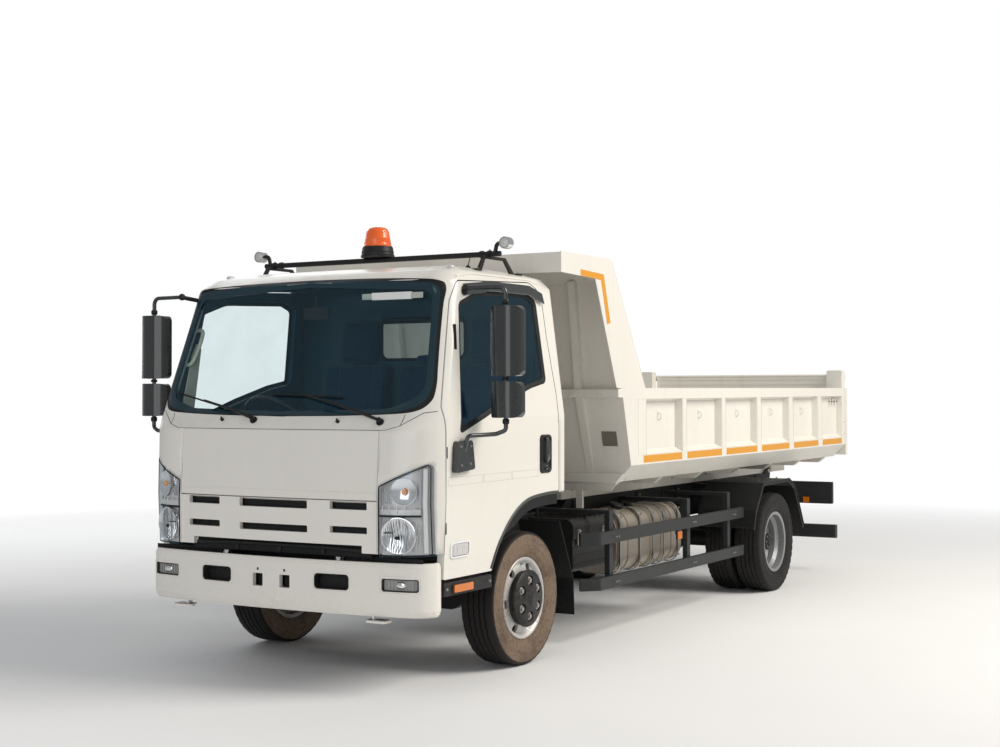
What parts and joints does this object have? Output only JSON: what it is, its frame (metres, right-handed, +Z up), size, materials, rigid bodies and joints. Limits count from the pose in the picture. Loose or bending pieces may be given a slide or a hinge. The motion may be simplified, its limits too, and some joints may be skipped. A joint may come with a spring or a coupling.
{
  "type": "light dump truck",
  "caption": "Cab-over light dump truck: hollow tilting cab with doors, tipping steel body with headboard canopy and top-hung tailgate, dual rear wheels.",
  "frame": {"origin": "on the ground in the truck's middle plane, midway between the bumper's front and the tailgate's rear skin", "axes": "+Z up, -Y to the front of the truck, +X to its left"},
  "size_m": [2.54, 6.908, 2.5782],
  "materials": {
    "cab_paint": "gloss cream white",
    "body_paint": "gloss cream white on pressed steel",
    "chassis_black": "satin black chassis paint",
    "guard_grey": "satin charcoal",
    "rubber_black": "matt",
    "tyre_rubber": "dusty",
    "wheel_silver": "silver wheel paint",
    "trim_black": "grained",
    "glass_tint": "tinted",
    "lamp_clear": "clear lens",
    "amber": "translucent amber",
    "tank_metal": "dull",
    "iron": "oily",
    "steel": "bright",
    "seat_fabric": "woven"
  },
  "bodies": {
    "chassis": {"chassis_frame": "chassis_black", "engine_block": "iron", "front_axle": "chassis_black", "rear_axle": "chassis_black", "leaf_springs": "chassis_black", "propeller_shaft": "chassis_black", "front_bumper": "cab_paint", "entry_steps": "trim_black", "fuel_tank": "tank_metal", "battery_box": "trim_black", "exhaust": "steel", "side_guards": "guard_grey", "rear_fenders": "rubber_black", "front_splash_guards": "rubber_black", "tail_bar": "guard_grey"},
    "cab": {"cab_shell": "cab_paint", "cab_glass": "glass_tint", "grille": "cab_paint", "headlamps": "lamp_clear", "dashboard": "trim_black", "steering_wheel": "trim_black", "seat_frame": "trim_black", "seat_cushions": "seat_fabric", "seat_backs": "seat_fabric", "roof_bar": "trim_black", "beacon": "amber", "wipers": "trim_black"},
    "front_lid": {"front_lid": "cab_paint"},
    "door_left": {"door_left": "cab_paint", "door_glass_left": "glass_tint", "mirrors_left": "trim_black"},
    "door_right": {"door_right": "cab_paint", "door_glass_right": "glass_tint", "mirrors_right": "trim_black"},
    "knuckle_left": {"knuckle_left": "iron"},
    "knuckle_right": {"knuckle_right": "iron"},
    "front_wheel_left": {"front_tyre_left": "tyre_rubber", "front_rim_left": "wheel_silver"},
    "front_wheel_right": {"front_tyre_right": "tyre_rubber", "front_rim_right": "wheel_silver"},
    "rear_wheels_left": {"rear_tyres_left": "tyre_rubber", "rear_rims_left": "wheel_silver"},
    "rear_wheels_right": {"rear_tyres_right": "tyre_rubber", "rear_rims_right": "wheel_silver"},
    "dump_body": {"dump_tub": "body_paint", "headboard": "body_paint"},
    "tailgate": {"tailgate": "body_paint"},
    "hoist_barrel": {"hoist_barrel": "chassis_black"},
    "hoist_rod": {"hoist_rod": "steel"}
  },
  "joints": [
    {"name": "cab_tilt", "type": "hinge", "parent": "chassis", "child": "cab", "pos_m": [0, -3.376, 0.64], "axis": [1, 0, 0], "range_deg": [0, 42]},
    {"name": "front_lid_hinge", "type": "hinge", "parent": "cab", "child": "front_lid", "pos_m": [0, -3.4255, 1.372], "axis": [-1, 0, 0], "range_deg": [0, 75]},
    {"name": "door_left_hinge", "type": "hinge", "parent": "cab", "child": "door_left", "pos_m": [1.006, -3.24, 1], "axis": [0, 0, -1], "range_deg": [0, 70]},
    {"name": "door_right_hinge", "type": "hinge", "parent": "cab", "child": "door_right", "pos_m": [-1.006, -3.24, 1], "axis": [0, 0, 1], "range_deg": [0, 70]},
    {"name": "steer_left", "type": "hinge", "parent": "chassis", "child": "knuckle_left", "pos_m": [0.735, -2.306, 0.385], "axis": [0, 0, 1], "range_deg": [-35, 35]},
    {"name": "steer_right", "type": "hinge", "parent": "chassis", "child": "knuckle_right", "pos_m": [-0.735, -2.306, 0.385], "axis": [0, 0, 1], "range_deg": [-35, 35]},
    {"name": "front_wheel_left_spin", "type": "hinge", "parent": "knuckle_left", "child": "front_wheel_left", "pos_m": [0.8445, -2.306, 0.385], "axis": [1, 0, 0], "continuous": true},
    {"name": "front_wheel_right_spin", "type": "hinge", "parent": "knuckle_right", "child": "front_wheel_right", "pos_m": [-0.8445, -2.306, 0.385], "axis": [1, 0, 0], "continuous": true},
    {"name": "rear_wheels_left_spin", "type": "hinge", "parent": "chassis", "child": "rear_wheels_left", "pos_m": [0.825, 1.509, 0.385], "axis": [1, 0, 0], "continuous": true},
    {"name": "rear_wheels_right_spin", "type": "hinge", "parent": "chassis", "child": "rear_wheels_right", "pos_m": [-0.825, 1.509, 0.385], "axis": [1, 0, 0], "continuous": true},
    {"name": "dump_tilt", "type": "hinge", "parent": "chassis", "child": "dump_body", "pos_m": [0, 2.994, 0.86], "axis": [-1, 0, 0], "range_deg": [0, 50]},
    {"name": "tailgate_hinge", "type": "hinge", "parent": "dump_body", "child": "tailgate", "pos_m": [0, 3.429, 1.7], "axis": [1, 0, 0], "range_deg": [0, 60]},
    {"name": "hoist_swing", "type": "hinge", "parent": "chassis", "child": "hoist_barrel", "pos_m": [0, 0.754, 0.64], "axis": [1, 0, 0], "range_deg": [-1, 16.16]},
    {"name": "hoist_stroke", "type": "slide", "parent": "hoist_barrel", "child": "hoist_rod", "axis": [0, 0.9869, 0.1613], "range_m": [-0.005, 0.4288]}
  ],
  "couplings": [
    {"joint": "steer_right", "follows": "steer_left", "ratio": 1},
    {"joint": "hoist_swing", "follows": "dump_tilt", "ratio": 0.28314},
    {"joint": "hoist_stroke", "follows": "dump_tilt", "m_per_rad": 0.47987}
  ]
}
